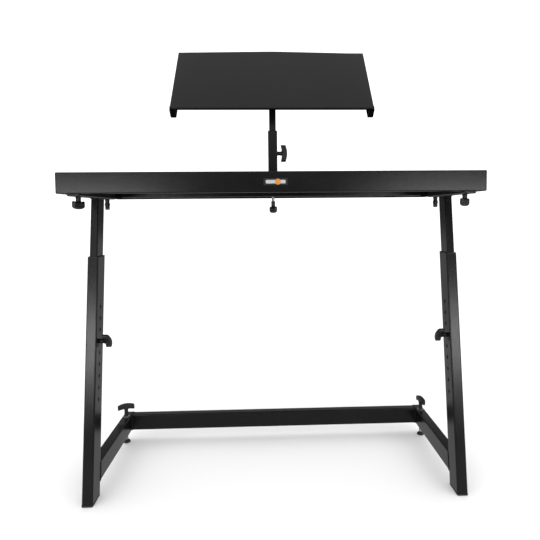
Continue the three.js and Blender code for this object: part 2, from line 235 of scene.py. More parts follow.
def brushed_plate():
    """Pale brushed metal: streaks along X, from noise that is stretched in that direction."""
    material, shader = new_material("brushed_plate")
    where = add_node(material, "ShaderNodeTexCoord")
    stretch = add_node(material, "ShaderNodeMapping")
    stretch.inputs["Scale"].default_value = (40, 2500, 2500)
    streaks = add_node(material, "ShaderNodeTexNoise", Scale=1.0, Detail=4.0)
    link(material, where.outputs["Object"], stretch.inputs["Vector"])
    link(material, stretch.outputs["Vector"], streaks.inputs["Vector"])
    brushed = streaks.outputs["Fac"]
    body = mix_colour(material, brushed, (0.34, 0.34, 0.33), (0.50, 0.50, 0.49))
    link(material, body, shader.inputs["Base Color"])
    shader.inputs["Metallic"].default_value = 0.35
    link(material, remap(material, brushed, 0.3, 0.7, 0.34, 0.5), shader.inputs["Roughness"])
    bumps(material, shader, [(brushed, 0.15, 0.03 * MM)])
    return material


def amber_enamel():
    """Amber enamel with a faint orange peel, for the plain disc on the name plate."""
    material, shader = new_material("amber_enamel")
    cloud = noise_at(material, 300, 3)
    body = mix_colour(material, cloud, (0.36, 0.13, 0.012), (0.50, 0.20, 0.02))
    link(material, body, shader.inputs["Base Color"])
    link(material, remap(material, cloud, 0.3, 0.7, 0.3, 0.42), shader.inputs["Roughness"])
    bumps(material, shader, [(cloud, 0.1, 0.1 * MM)])
    return material


MATERIALS = {
    "black_steel": powder_coat(),
    "black_plastic": moulded_plastic(),
    "black_rubber": rubber(),
    "zinc": zinc(),
    "badge_metal": brushed_plate(),
}


# ---- mesh helpers --------------------------------------------------------------------------------


def centre_of(node):
    low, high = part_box(node)
    return (low + high) / 2


def size_of(node):
    low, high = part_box(node)
    return high - low


def level(z):
    """A horizontal plane, as (point, normal)."""
    return Vector((0, 0, z)), Z


def rounded_rect(width, depth, radius, steps=6):
    """Points (u, v) of a rounded rectangle, anticlockwise, with steps facets in each corner."""
    points = []
    corners = ((1, 1), (-1, 1), (-1, -1), (1, -1))
    for quarter, (sign_u, sign_v) in enumerate(corners):
        for step in range(steps + 1):
            angle = math.pi / 2 * (quarter + step / steps)
            u = sign_u * (width / 2 - radius) + radius * math.cos(angle)
            v = sign_v * (depth / 2 - radius) + radius * math.sin(angle)
            points.append((u, v))
    return points


class Axes:
    """A section's frame: its origin, the directions of its width and depth, and its length."""

    def __init__(self, origin, across, deep, along):
        self.origin, self.across, self.deep, self.along = origin, across, deep, along

    def at(self, u, v, t=0.0):
        return self.origin + self.across * u + self.deep * v + self.along * t

    def on_plane(self, u, v, plane):
        """The point of the line through (u, v) along the section's length that lies on a plane."""
        point, normal = plane
        start = self.at(u, v)
        return start + self.along * ((point - start).dot(normal) / self.along.dot(normal))


def upright_axes(node, z=0.0):
    """Axes that stand straight up through the middle of a node."""
    middle = centre_of(node)
    return Axes(Vector((middle.x, middle.y, z)), X, Y, Z)


def inset_ring(axes, size, corner, inset, t, steps=6):
    """A rounded rectangle at height t, drawn in from its full size by an inset on every side."""
    outline = rounded_rect(size[0] - 2 * inset, size[1] - 2 * inset, corner, steps)
    return [axes.at(u, v, t) for u, v in outline]


def circle(axes, radius, t, sides):
    turns = [2 * math.pi * side / sides for side in range(sides)]
    return [axes.at(radius * math.cos(turn), radius * math.sin(turn), t) for turn in turns]


def loft(rings, closed=False):
    """A bmesh of quads between rings of equal length; closed joins the last ring to the first."""
    bm = bmesh.new()
    rows = [[bm.verts.new(point) for point in ring] for ring in rings]
    pairs = list(zip(rows, rows[1:]))
    if closed:
        pairs.append((rows[-1], rows[0]))
    for lower, upper in pairs:
        for i in range(len(lower)):
            j = (i + 1) % len(lower)
            bm.faces.new((lower[i], lower[j], upper[j], upper[i]))
    if not closed:
        bm.faces.new(list(reversed(rows[0])))
        bm.faces.new(rows[-1])
    return bm


def tube(section, axes, start, end):
    """A hollow rounded tube between two planes, each given as (point, normal)."""
    width, depth, radius, wall = section
    outside = rounded_rect(width, depth, radius, TUBE_STEPS)
    inner_radius = max(radius - wall, 0.6 * MM)
    inside = rounded_rect(width - 2 * wall, depth - 2 * wall, inner_radius, TUBE_STEPS)
    rings = []
    for outline, plane in ((outside, start), (outside, end), (inside, end), (inside, start)):
        rings.append([axes.on_plane(u, v, plane) for u, v in outline])
    return loft(rings, closed=True)


def lathe(profile, axes, sides=48):
    """A turned solid, capped at both ends: profile is (radius, height) pairs."""
    return loft([circle(axes, radius, height, sides) for radius, height in profile])


BEAD_R = 1.7 * MM
BEAD_SIDES = 8
BEAD_STEP = 0.8 * MM
SEAM_STEPS = 3  # facets in each corner of a welded seam
RIPPLE_LENGTH = 2.6 * MM
RIPPLE_DEPTH = 0.16
UNEVENNESS = 0.18
UNEVEN_SCALE = 260


def bead(points, seed):
    """A rippled weld bead along a closed line of points."""
    path = []
    for a, b in zip(points, points[1:] + points[:1]):
        count = max(1, round((b - a).length / BEAD_STEP))
        path += [a.lerp(b, i / count) for i in range(count)]
    middle = sum(path, Vector()) / len(path)
    rings = []
    travelled = 0.0
    for i, point in enumerate(path):
        ahead = path[(i + 1) % len(path)]
        behind = path[i - 1]
        tangent = (ahead - behind).normalized()
        side = (point - middle).cross(tangent).normalized()
        out = tangent.cross(side).normalized()
        travelled += (ahead - point).length
        ripple = 1 + RIPPLE_DEPTH * math.sin(2 * math.pi * travelled / RIPPLE_LENGTH)
        ripple += UNEVENNESS * noise.noise(point * UNEVEN_SCALE + Vector((seed, 0, 0)))
        rings.append(circle(Axes(point, side, out, tangent), BEAD_R * ripple, 0, BEAD_SIDES))
    return loft(rings, closed=True)


def weld(obj, line, seed):
    """Adds a weld bead to a finished piece."""
    bm = bead(line, seed)
    bmesh.ops.recalc_face_normals(bm, faces=bm.faces)
    for face in bm.faces:
        face.smooth = True
    spare = bpy.data.meshes.new("spare")
    bm.to_mesh(spare)
    bm.free()
    merged = bmesh.new()
    merged.from_mesh(obj.data)
    merged.from_mesh(spare)
    merged.to_mesh(obj.data)
    merged.free()
    bpy.data.meshes.remove(spare)


def section_line(section, axes, plane):
    """The line in which a tube's outer skin meets a plane."""
    width, depth, radius, _ = section
    return [axes.on_plane(u, v, plane) for u, v in rounded_rect(width, depth, radius, SEAM_STEPS)]


def to_object(name, bm):
    """Turns a bmesh into an object in the scene and frees it."""
    bmesh.ops.recalc_face_normals(bm, faces=bm.faces)
    mesh = bpy.data.meshes.new(name)
    bm.to_mesh(mesh)
    bm.free()
    obj = bpy.data.objects.new(name, mesh)
    bpy.context.scene.collection.objects.link(obj)
    return obj


def apply_modifiers(obj):
    """Replaces an object's mesh by what its modifiers make of it."""
    graph = bpy.context.evaluated_depsgraph_get()
    mesh = bpy.data.meshes.new_from_object(obj.evaluated_get(graph))
    obj.modifiers.clear()
    old = obj.data
    obj.data = mesh
    bpy.data.meshes.remove(old)


def polish(obj, bevel=TUBE_EDGE, segments=2, angle=32, weighted=True):
    """Rounds the sharp edges and shades the surface smooth; unweighted, its large faces stay flat."""
    if bevel:
        rounding = obj.modifiers.new("rounding", "BEVEL")
        rounding.width = bevel
        rounding.segments = segments
        rounding.limit_method = "ANGLE"
        rounding.angle_limit = math.radians(angle)
        rounding.use_clamp_overlap = True
        apply_modifiers(obj)
    for face in obj.data.polygons:
        face.use_smooth = weighted or face.area < LARGE_FACE
    obj.data.set_sharp_from_angle(angle=SHARP_ANGLE)
    if weighted:
        modifier = obj.modifiers.new("weighted", "WEIGHTED_NORMAL")
        modifier.keep_sharp = True
        apply_modifiers(obj)
    return obj


def boolean(obj, bm, operation="DIFFERENCE"):
    """Cuts a closed bmesh out of an object, or joins it on."""
    tool = to_object("tool", bm)
    modifier = obj.modifiers.new("boolean", "BOOLEAN")
    modifier.operation = operation
    modifier.solver = "EXACT"
    modifier.object = tool
    apply_modifiers(obj)
    bpy.data.objects.remove(tool)


def with_whole_flats(mesh, degrees):
    """A bmesh of a mesh, with the faces that meet at less than an angle joined."""
    bm = bmesh.new()
    bm.from_mesh(mesh)
    bmesh.ops.remove_doubles(bm, verts=bm.verts, dist=MERGE_DISTANCE)
    bmesh.ops.dissolve_limit(bm, angle_limit=math.radians(degrees), verts=bm.verts, edges=bm.edges)
    return bm


def dress(obj, slot, body, node=None, material=None):
    """Gives a piece the material of its slot, and makes it ride on its body in place of a CAD node."""
    obj.data.materials.clear()
    obj.data.materials.append(material or MATERIALS[slot])
    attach(obj, body)
    if node:
        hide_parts(node)


def piece(name, bm, slot, body, node=None, bevel=TUBE_EDGE, segments=2, material=None):
    """Makes, polishes and dresses a piece from a bmesh."""
    obj = polish(to_object(name, bm), bevel, segments)
    dress(obj, slot, body, node, material)


def refined(node, slot, bevel, segments=2):
    """A copy of a CAD node with its flat faces made whole and its edges rounded."""
    source = frame["nodes"][node]
    piece(f"{node}_body", with_whole_flats(source.data, 1), slot, source["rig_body"], node, bevel, segments)


# ---- wing grips and threaded rods ----------------------------------------------------------------


GRIP_HEIGHT = 17 * MM
WING_LENGTH = 46 * MM
WING_MIDDLE = 11.5 * MM
WING_TIP = 9 * MM
WING_CORNER = 2.6 * MM
WING_GAP = 2.2 * MM
TOP_DROOP = 4.6 * MM
BOTTOM_DROOP = 3.6 * MM
ROUNDED_FROM = 0.78  # share of the half length
STEM_R = 6 * MM
VOXEL = 0.6 * MM
grip_meshes = {}

THREAD_PITCH = 1.25 * MM
THREAD_DEPTH = 0.65 * MM
ROD_SIDES = 24
STEPS_PER_TURN = 8


def wing_shell(stem):
    """The wing of a grip: an arched bar with drooping, rounded ends."""
    half = WING_LENGTH / 2
    stations = [-1, -0.985, -0.94, -0.87, -ROUNDED_FROM, -0.6, -0.4, -0.2]
    stations += [0] + [-s for s in reversed(stations)]
    rings = []
    for s in stations:
        swell = 1 - abs(s) ** 1.6
        end = max(0.0, (abs(s) - ROUNDED_FROM) / (1 - ROUNDED_FROM))
        thickness = WING_TIP + (WING_MIDDLE - WING_TIP) * swell
        thickness *= math.sqrt(max(0.05, 1 - end**2.4))
        top = stem + GRIP_HEIGHT - TOP_DROOP * s * s
        bottom = stem + WING_GAP - BOTTOM_DROOP * s * s
        height = top - bottom
        axes = Axes(Vector((s * half, 0, (top + bottom) / 2)), Y, Z, X)
        corner = min(WING_CORNER, 0.45 * thickness, 0.45 * height)
        rings.append(inset_ring(axes, (thickness, height), corner, 0, 0, 4))
    return loft(rings)


def stem_shell(stem):
    """The grip's stem: a hub with a foot ring, a waist and a flare where it runs into the wing."""
    profile = [
        (0, 0),
        (STEM_R - 0.5 * MM, 0),
        (STEM_R, 0.5 * MM),
        (STEM_R, 2.2 * MM),
        (STEM_R - 0.6 * MM, 2.8 * MM),
        (STEM_R - 0.6 * MM, stem - 1.5 * MM),
        (STEM_R + 0.8 * MM, stem + 2.5 * MM),
        (STEM_R + 0.6 * MM, stem + 6 * MM),
        (0, stem + 8 * MM),
    ]
    return lathe(profile, Axes(Vector(), X, Y, Z), 40)


def grip_mesh(stem):
    """One mesh for each stem length, remeshed so that stem and wing run into each other."""
    key = round(stem / MM)
    if key not in grip_meshes:
        obj = to_object(f"grip_{key}", wing_shell(stem))
        boolean(obj, stem_shell(stem), "UNION")
        remesh = obj.modifiers.new("remesh", "REMESH")
        remesh.mode = "VOXEL"
        remesh.voxel_size = VOXEL
        smooth = obj.modifiers.new("smooth", "SMOOTH")
        smooth.factor = 0.5
        smooth.iterations = 7
        apply_modifiers(obj)
        for face in obj.data.polygons:
            face.use_smooth = True
        grip_meshes[key] = obj.data
        bpy.data.objects.remove(obj)
    return grip_meshes[key]


def span_along(node, point, axis):
    """Where a node starts and ends along an axis, and the direction it is widest across it."""
    heights = []
    spread = Matrix(((0, 0), (0, 0)))
    helper = X if abs(axis.x) < 0.5 else Z
    first = axis.cross(helper).normalized()
    second = axis.cross(first)
    for vertex in frame["nodes"][node].data.vertices:
        away = vertex.co - point
        heights.append(away.dot(axis))
        a, b = away.dot(first), away.dot(second)
        spread += Matrix(((a * a, a * b), (a * b, b * b)))
    angle = 0.5 * math.atan2(2 * spread[0][1], spread[0][0] - spread[1][1])
    widest = first * math.cos(angle) + second * math.sin(angle)
    return min(heights), max(heights), widest


def wing_grip(node, joint_name):
    """A moulded grip in place of a CAD knob, turned the same way about its joint's axis."""
    joint = JOINTS[joint_name]
    axis = Vector(joint["axis"])
    point = Vector(joint["pos_m"])
    low, high, widest = span_along(node, point, axis)
    stem = high - low - GRIP_HEIGHT
    obj = bpy.data.objects.new(f"{node}_grip", grip_mesh(stem).copy())
    bpy.context.scene.collection.objects.link(obj)
    turned = Matrix((widest, axis.cross(widest), axis)).transposed().to_4x4()
    obj.matrix_world = Matrix.Translation(point + axis * low) @ turned
    dress(obj, "black_plastic", joint["child"], node)


def threaded_rod(node, body):
    """A machine screw: rings of points whose radius follows a helical thread, with chamfered ends."""
    axes = upright_axes(node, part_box(node)[0].z)
    size = size_of(node)
    steps = round(size.z / THREAD_PITCH * STEPS_PER_TURN)
    rings = []
    for i in range(steps + 1):
        height = size.z * i / steps
        end = min(i, steps - i) / STEPS_PER_TURN
        chamfer = THREAD_DEPTH * max(0.0, 1 - end) * 0.6
        ring = []
        for side in range(ROD_SIDES):
            phase = (height / THREAD_PITCH - side / ROD_SIDES) % 1
            groove = THREAD_DEPTH * abs(2 * phase - 1) * min(1.0, end + 0.4)
            radius = size.x / 2 - groove - chamfer
            angle = 2 * math.pi * side / ROD_SIDES
            ring.append(axes.at(radius * math.cos(angle), radius * math.sin(angle), height))
        rings.append(ring)
    piece(f"{node}_thread", loft(rings), "zinc", body, node, bevel=0)


# ---- base and legs -------------------------------------------------------------------------------


LEAN = Vector(JOINTS["top_height"]["axis"]).normalized()

HOLE_R = 4.5 * MM
HOLE_PITCH = 27 * MM
HOLES_BELOW_KNOB = 5
HOLES_ABOVE_KNOB = 3

CAP_BASE = 2 * MM
WASHER_BORE = 4.6 * MM
WASHER_EDGE = 0.35 * MM

# each weld bead's place in the noise that makes it uneven
RAIL_SEEDS = {"left": 4, "right": 5}
CROSSBAR_SEEDS = (3, 4)
INNER_LEG_SEEDS = {"left": 9, "right": 10}
POST_SEED = 11


def leg_axes(side_name):
    """Across, deep and along the leaning leg, from where its centreline meets the floor."""
    foot = centre_of(f"leg_foot_cap_{side_name}")
    return Axes(Vector((foot.x, foot.y, 0)), X, LEAN.cross(X), LEAN)


def outer_leg(side_name, side):
    """The lower, wider leg tube, with a row of holes in its inward face."""
    node = f"leg_outer_tube_{side_name}"
    axes = leg_axes(side_name)
    low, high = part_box(node)
    obj = to_object(f"leg_outer_{side_name}", tube(LEG_OUTER, axes, level(low.z), level(high.z)))
    knob = Vector(JOINTS[f"leg_{side_name}_turn"]["pos_m"])
    knob_along = (knob - axes.origin).dot(LEAN)
    reach = LEG_OUTER[0]
    for step in range(-HOLES_BELOW_KNOB, HOLES_ABOVE_KNOB + 1):
        hole = Axes(axes.at(0, 0, knob_along + step * HOLE_PITCH), Y, Z, X * -side)
        boolean(obj, lathe([(HOLE_R, 0), (HOLE_R, reach)], hole, 28))
    polish(obj, 0.45 * MM)
    dress(obj, "black_steel", "base", node)


def foot_cap(side_name):
    """A rubber shoe: a plate with a soft bottom edge, a groove round it and a plug up the tube."""
    node = f"leg_foot_cap_{side_name}"
    axes = upright_axes(node)
    width, depth, _ = size_of(node)
    sole = ((1.2, 0), (0.35, 0.35), (0, 1.1), (0, 2.2))
    groove = ((0.5, 2.5), (0.5, 2.9), (0.1, 3.2), (0.4, 4.0))
    rings = []
    for inset, z in sole + groove:
        rings.append(inset_ring(axes, (width, depth), (3.6 - inset) * MM, inset * MM, z * MM))
    for z in (4, 13):
        rings.append(inset_ring(axes, (width, depth - 4 * MM), 1.6 * MM, 3.4 * MM, z * MM))
    piece(f"leg_foot_{side_name}", loft(rings), "black_rubber", "base", node, bevel=0)


def tube_cap(name, node, body, out, section):
    """A pressed-in plastic end cap with a rim, a slightly domed face and a moulded outline."""
    width, depth, radius, wall = section
    low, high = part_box(node)
    middle = centre_of(node)
    outer_face = high.y if out.y > 0 else low.y
    axes = Axes(Vector((middle.x, outer_face - out.y * CAP_BASE, middle.z)), X, Z, out)
    rings = []
    plug = ((wall + 0.6 * MM, -9.0), (wall + 0.4 * MM, 0.0))
    face = ((0.1 * MM, 0.0), (0.0, 0.5), (0.15 * MM, 1.2), (0.8 * MM, 1.7), (2.4 * MM, 1.95))
    dish = ((4.2 * MM, 1.95), (4.8 * MM, 1.55), (6.5 * MM, 1.6))
    for inset, t in plug + face + dish:
        corner = max(radius - inset * 0.8, 0.8 * MM)
        rings.append(inset_ring(axes, (width, depth), corner, inset, t * MM, 5))
    piece(name, loft(rings), "black_plastic", body, node, bevel=0)


def base_rail(side_name):
    """A rail from the back of a leg to the rear, with its weld and its end cap."""
    node = f"base_rail_{side_name}"
    leg = leg_axes(side_name)
    middle = centre_of(node)
    axes = Axes(Vector((middle.x, 0, middle.z)), X, Z, Y)
    back_of_leg = (leg.at(0, LEG_OUTER[1] / 2 + GAP), leg.deep)
    rear = (Vector((0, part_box(node)[1].y, 0)), Y)
    obj = polish(to_object(f"rail_{side_name}", tube(RAIL, axes, back_of_leg, rear)))
    weld(obj, section_line(RAIL, axes, back_of_leg), RAIL_SEEDS[side_name])
    dress(obj, "black_steel", "base", node)
    tube_cap(f"rail_end_{side_name}", f"base_rail_cap_{side_name}", "base", Y, RAIL)


def crossbar():
    """The bar between the rails, welded at both ends."""
    low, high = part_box("base_crossbar")
    middle = centre_of("base_crossbar")
    axes = Axes(Vector((0, middle.y, middle.z)), Y, Z, X)
    ends = [(Vector((low.x, 0, 0)), X), (Vector((high.x, 0, 0)), X)]
    obj = polish(to_object("crossbar", tube(RAIL, axes, *ends)))
    for end, seed in zip(ends, CROSSBAR_SEEDS):
        weld(obj, section_line(RAIL, axes, end), seed)
    dress(obj, "black_steel", "base", "base_crossbar")


def inner_leg(side_name):
    """The upper leg tube: cut square at its hidden lower end and level under the tabletop."""
    node = f"leg_inner_tube_{side_name}"
    axes = leg_axes(side_name)
    low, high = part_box(node)
    start_along = (low.z + LEG_INNER[1] / 2 * LEAN.y) / LEAN.z
    start = (axes.at(0, 0, start_along), LEAN)
    top = level(high.z)
    obj = polish(to_object(f"leg_inner_{side_name}", tube(LEG_INNER, axes, start, top)))
    weld(obj, section_line(LEG_INNER, axes, top), INNER_LEG_SEEDS[side_name])
    dress(obj, "black_steel", "top", node)


def collar(name, node, section, bore, axes, body):
    """The visible rim of a sleeve bush: a flat ring with softened edges on top of the tube."""
    low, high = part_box(node)
    width, depth, radius, _ = section
    bore_width, bore_depth, bore_radius, _ = bore
    rim = high.z - 2.7 * MM
    rings = []
    for inset, z in ((0.2, rim), (0.0, rim + 0.4 * MM), (0.0, high.z - 0.9 * MM), (0.7, high.z)):
        less = inset * MM
        outline = rounded_rect(width - 2 * less, depth - 2 * less, radius - less)
        rings.append([axes.on_plane(u, v, level(z)) for u, v in outline])
    for grow, z in ((1.0, high.z), (0.3, high.z - 0.7 * MM), (0.3, low.z), (1.6, low.z), (1.6, rim)):
        more = grow * MM
        outline = rounded_rect(bore_width + 2 * more, bore_depth + 2 * more, bore_radius + more)
        rings.append([axes.on_plane(u, v, level(z)) for u, v in outline])
    piece(name, loft(rings, closed=True), "black_plastic", body, node, bevel=0)


def leveller(side_name):
    """A levelling foot: rubber-soled pad, threaded spindle, zinc washer on the rail, wing grip."""
    pad, washer = f"leveller_pad_{side_name}", f"leveller_washer_{side_name}"
    r, h = size_of(pad).x / 2, size_of(pad).z
    profile = [
        (0, 0),
        (r - 2.2 * MM, 0),
        (r - 0.9 * MM, 0.4 * MM),
        (r, 1.6 * MM),
        (r, 2.6 * MM),
        (r - 0.7 * MM, 3.0 * MM),
        (r - 0.5 * MM, 3.4 * MM),
        (r - 0.6 * MM, 4.6 * MM),
        (r - 2.0 * MM, 6.2 * MM),
        (r - 4.2 * MM, 7.4 * MM),
        (r - 5.0 * MM, h - 0.3 * MM),
        (r - 5.4 * MM, h),
        (0, h),
    ]
    bm = lathe(profile, upright_axes(pad))
    piece(f"levelling_pad_{side_name}", bm, "black_rubber", pad, pad, bevel=0.25 * MM)
    axes = upright_axes(washer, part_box(washer)[0].z)
    r, t = size_of(washer).x / 2, size_of(washer).z
    hole, edge = WASHER_BORE, WASHER_EDGE
    under = [(hole, 0), (r - edge, 0), (r, edge)]
    over = [(r, t - edge), (r - edge, t), (hole + edge, t), (hole, t - edge)]
    rings = [circle(axes, radius, height, 48) for radius, height in under + over]
    piece(f"washer_{side_name}", loft(rings, closed=True), "zinc", "base", washer, bevel=0)
    threaded_rod(f"leveller_spindle_{side_name}", f"leveller_screw_{side_name}")
    wing_grip(f"leveller_knob_{side_name}", f"leveller_turn_{side_name}")


for side_name, side in SIDES.items():
    outer_leg(side_name, side)
    inner_leg(side_name)
    foot_cap(side_name)
    bush = f"leg_sleeve_bush_{side_name}"
    collar(f"leg_collar_{side_name}", bush, LEG_OUTER, LEG_INNER, leg_axes(side_name), "base")
    base_rail(side_name)
    leveller(side_name)
    wing_grip(f"leg_{side_name}_knob", f"leg_{side_name}_turn")
crossbar()


# ---- top arms and tabletop -----------------------------------------------------------------------


def top_arm(side_name):
    """An arm under the tabletop, with its end caps and its two hand screws."""
    node = f"top_arm_{side_name}"
    low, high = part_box(node)
    middle = centre_of(node)
    axes = Axes(Vector((middle.x, 0, middle.z)), X, Z, Y)
    ends = [(Vector((0, low.y, 0)), Y), (Vector((0, high.y, 0)), Y)]
    piece(f"arm_{side_name}", tube(ARM, axes, *ends), "black_steel", "top", node)
    tube_cap(f"arm_rear_end_{side_name}", f"top_arm_rear_cap_{side_name}", "top", Y, ARM)
    tube_cap(f"arm_front_end_{side_name}", f"top_arm_front_cap_{side_name}", "top", -Y, ARM)
    for place in ("front", "rear"):
        wing_grip(f"top_{place}_{side_name}_knob", f"top_{place}_{side_name}_turn")


BEND = 2.4 * MM
BEND_STEPS = 5
FLANGE = 13.5 * MM
TRAY_CORNER = 3.2 * MM


def tabletop():
    """The tray: rounded folds from the top sheet into the aprons and on into the return flange."""
    low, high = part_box("tabletop_pan")
    top, bottom = high.z, low.z
    inner = BEND - SHEET
    turns = [math.pi / 2 * i / BEND_STEPS for i in range(BEND_STEPS + 1)]
    rise = [(1 - math.sin(turn), 1 - math.cos(turn)) for turn in turns]
    line = [(BEND * a, top - BEND * b) for a, b in rise]
    line += [(BEND * b, bottom + BEND * a) for a, b in rise]
    line += [(FLANGE, bottom), (FLANGE, bottom + SHEET)]
    line += [(SHEET + inner * a, bottom + SHEET + inner * b) for a, b in rise]
    line += [(SHEET + inner * b, top - SHEET - inner * a) for a, b in rise]
    axes = upright_axes("tabletop_pan")
    size = size_of("tabletop_pan")
    rings = [inset_ring(axes, size, max(TRAY_CORNER - inset, 0.5 * MM), inset, z) for inset, z in line]
    obj = polish(to_object("tabletop", loft(rings)), 0.3 * MM, 2, 60)
    dress(obj, "black_steel", "top", "tabletop_pan")


STRIP_SIZE = (42 * MM, 7.6 * MM)
DISC_X = 4.8 * MM
DISC_R = 6.2 * MM
BACKING_TOP = 0.6 * MM


def badge():
    """A plain name plate: a dark backing plate, a raised pale strip and a plain amber disc."""
    middle = centre_of("front_badge")
    size = size_of("front_badge")
    axes = Axes(Vector((middle.x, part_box("front_badge")[1].y, middle.z)), X, Z, -Y)
    steps = ((0, 0), (0, 0.35 * MM), (0.25 * MM, BACKING_TOP))
    rings = [inset_ring(axes, (size.x, size.z), 2 * MM, inset, t) for inset, t in steps]
    piece("badge_backing", loft(rings), "black_plastic", "top", "front_badge", bevel=0)
    steps = ((0, BACKING_TOP), (0, 0.7 * MM), (0.15 * MM, 0.85 * MM))
    rings = [inset_ring(axes, STRIP_SIZE, 1.2 * MM, inset, t) for inset, t in steps]
    piece("badge_strip", loft(rings), "badge_metal", "top", bevel=0)
    seat = Axes(axes.at(DISC_X, 0, BACKING_TOP), X, Z, -Y)
    bm = lathe([(DISC_R, 0), (DISC_R, 0.25 * MM), (DISC_R - 0.3 * MM, 0.4 * MM)], seat)
    piece("badge_disc", bm, "badge_metal", "top", bevel=0, material=amber_enamel())


for side_name in SIDES:
    top_arm(side_name)
tabletop()
badge()
refined("tabletop_beam", "black_steel", 0.5 * MM)
threaded_rod("post_clamp_stud", "top")
wing_grip("post_clamp_knob", "post_clamp_turn")


# ---- desk post -----------------------------------------------------------------------------------


def post():
    """The telescopic post: outer tube welded to its foot plate, collar, inner tube and hand screw."""
    low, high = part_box("post_outer_tube")
    axes = upright_axes("post_outer_tube")
    obj = polish(to_object("post_outer", tube(POST_OUTER, axes, level(low.z), level(high.z))))
    weld(obj, section_line(POST_OUTER, axes, level(low.z + 0.6 * MM)), POST_SEED)
    dress(obj, "black_steel", "top", "post_outer_tube")
    collar("post_collar", "post_sleeve_bush", POST_OUTER, POST_INNER, axes, "top")
    low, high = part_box("post_inner_tube")
    bm = tube(POST_INNER, axes, level(low.z), level(high.z))
    piece("post_inner", bm, "black_steel", "post_inner", "post_inner_tube")
    wing_grip("post_height_knob", "post_height_lock_turn")


post()
refined("post_foot_plate", "black_steel", 0.8 * MM, 3)
refined("post_knuckle", "black_steel", 0.6 * MM)


# ---- desk ----------------------------------------------------------------------------------------


# slopes are measured up the desk from its tilt bolt, and offsets out of its face
DESK_HALF = 260 * MM
DESK_BOTTOM = -123 * MM
DESK_TOP = 120 * MM
DESK_SIDE = 26 * MM
DESK_HEM = 14.5 * MM
DESK_CROWN = 6.5 * MM
DESK_OFFSET = 30 * MM
DESK_INNER = DESK_HALF - DESK_HEM
DESK_BACK = DESK_OFFSET - DESK_SIDE
DESK_TILT = math.radians(51)
CROWN_REACH = 0.62  # share of the half width
GRID = 24 * MM
LIP_DEPTH = 5.5 * MM
LIP_HEIGHT = 9 * MM
LIP_INSET = 1 * MM
LIP_BEND = 2.2 * MM
LIP_OVERLAP = 20 * MM
END_PLATE_SETBACK = 3 * MM


def offset_strip(line, thickness):
    """Both sides of a sheet that follows a line of (u, v) points: out along it and back."""
    back = []
    for i, point in enumerate(line):
        before, after = line[max(i - 1, 0)], line[min(i + 1, len(line) - 1)]
        du, dv = after[0] - before[0], after[1] - before[1]
        size = math.hypot(du, dv)
        back.append((point[0] - dv / size * thickness, point[1] + du / size * thickness))
    return line + back[::-1]


def fold(points, radius, steps=BEND_STEPS):
    """A polyline of (u, v) corners with each inner corner rounded to a bend."""
    line = [points[0]]
    for a, b, c in zip(points, points[1:], points[2:]):
        a, b, c = Vector(a), Vector(b), Vector(c)
        start = b + (a - b).normalized() * radius
        end = b + (c - b).normalized() * radius
        middle = start + end - b
        for i in range(steps + 1):
            t = math.pi / 2 * i / steps
            p = middle + (start - middle) * math.cos(t) + (end - middle) * math.sin(t)
            line.append((p.x, p.y))
    line.append(points[-1])
    return line


def desk_tray(axes):
    """The sheet's reading face, side walls and return hems, with a crowned top edge."""
    corners = [(-DESK_INNER, DESK_BACK), (-DESK_HALF, DESK_BACK), (-DESK_HALF, DESK_OFFSET)]
    corners += [(-u, v) for u, v in reversed(corners)]
    bent = fold(corners, BEND)
    line = []
    for (u0, v0), (u1, v1) in zip(bent, bent[1:]):
        count = max(1, round(abs(u1 - u0) / GRID))
        line += [(u0 + (u1 - u0) * i / count, v0 + (v1 - v0) * i / count) for i in range(count)]
    line.append(bent[-1])
    rings = []
    for slope, crown in ((DESK_BOTTOM, 0), (DESK_TOP, DESK_CROWN)):
        ring = []
        for u, v in offset_strip(line, -SHEET):
            share = min(1.0, abs(u) / (CROWN_REACH * DESK_HALF))
            on_face = v > DESK_BACK + 5 * MM
            rise = crown * (1 + math.cos(math.pi * share)) / 2 if on_face else 0
            ring.append(axes.at(u, slope + rise, v))
        rings.append(ring)
    return loft(rings)


def desk_lip(axes):
    """The shallow channel along the lower edge: forward, then up."""
    face = DESK_OFFSET - SHEET
    front = face + LIP_DEPTH
    corners = [(DESK_BOTTOM + LIP_OVERLAP, face), (DESK_BOTTOM, face)]
    corners += [(DESK_BOTTOM, front), (DESK_BOTTOM + LIP_HEIGHT, front)]
    line = offset_strip(fold(corners, LIP_BEND, 6), -SHEET)
    ends = (-DESK_HALF + LIP_INSET, DESK_HALF - LIP_INSET)
    return loft([[axes.at(u, slope, height) for slope, height in line] for u in ends])


def desk_end_plate(axes, side):
    """The plate that closes the lower end of a side channel."""
    front = DESK_OFFSET - END_PLATE_SETBACK
    corners = [(DESK_INNER, front), (DESK_INNER, DESK_BACK), (DESK_HALF, DESK_BACK), (DESK_HALF, front)]
    outline = fold(corners, BEND)
    return loft([[axes.at(side * u, DESK_BOTTOM + t, v) for u, v in outline] for t in (0, SHEET)])


def desk_panel():
    """The whole desk, joined into one sheet."""
    pivot = Vector(JOINTS["desk_tilt"]["pos_m"])
    up_slope = Vector((0, math.cos(DESK_TILT), math.sin(DESK_TILT)))
    axes = Axes(pivot, X, up_slope, X.cross(up_slope))
    obj = to_object("desk", desk_tray(axes))
    boolean(obj, desk_lip(axes), "UNION")
    for side in SIDES.values():
        boolean(obj, desk_end_plate(axes, side), "UNION")
    bm = with_whole_flats(obj.data, 0.4)
    bm.to_mesh(obj.data)
    bm.free()
    polish(obj, 0.35 * MM, 2, 50, weighted=False)
    dress(obj, "black_steel", "desk", "desk_panel")


desk_panel()
refined("desk_bracket", "black_steel", 0.5 * MM)
refined("desk_tilt_bolt", "zinc", 0.4 * MM)
wing_grip("desk_tilt_knob", "desk_tilt_lock_turn")


# ---- the hand screws' studs, which are shown as they are in the CAD model ------------------------


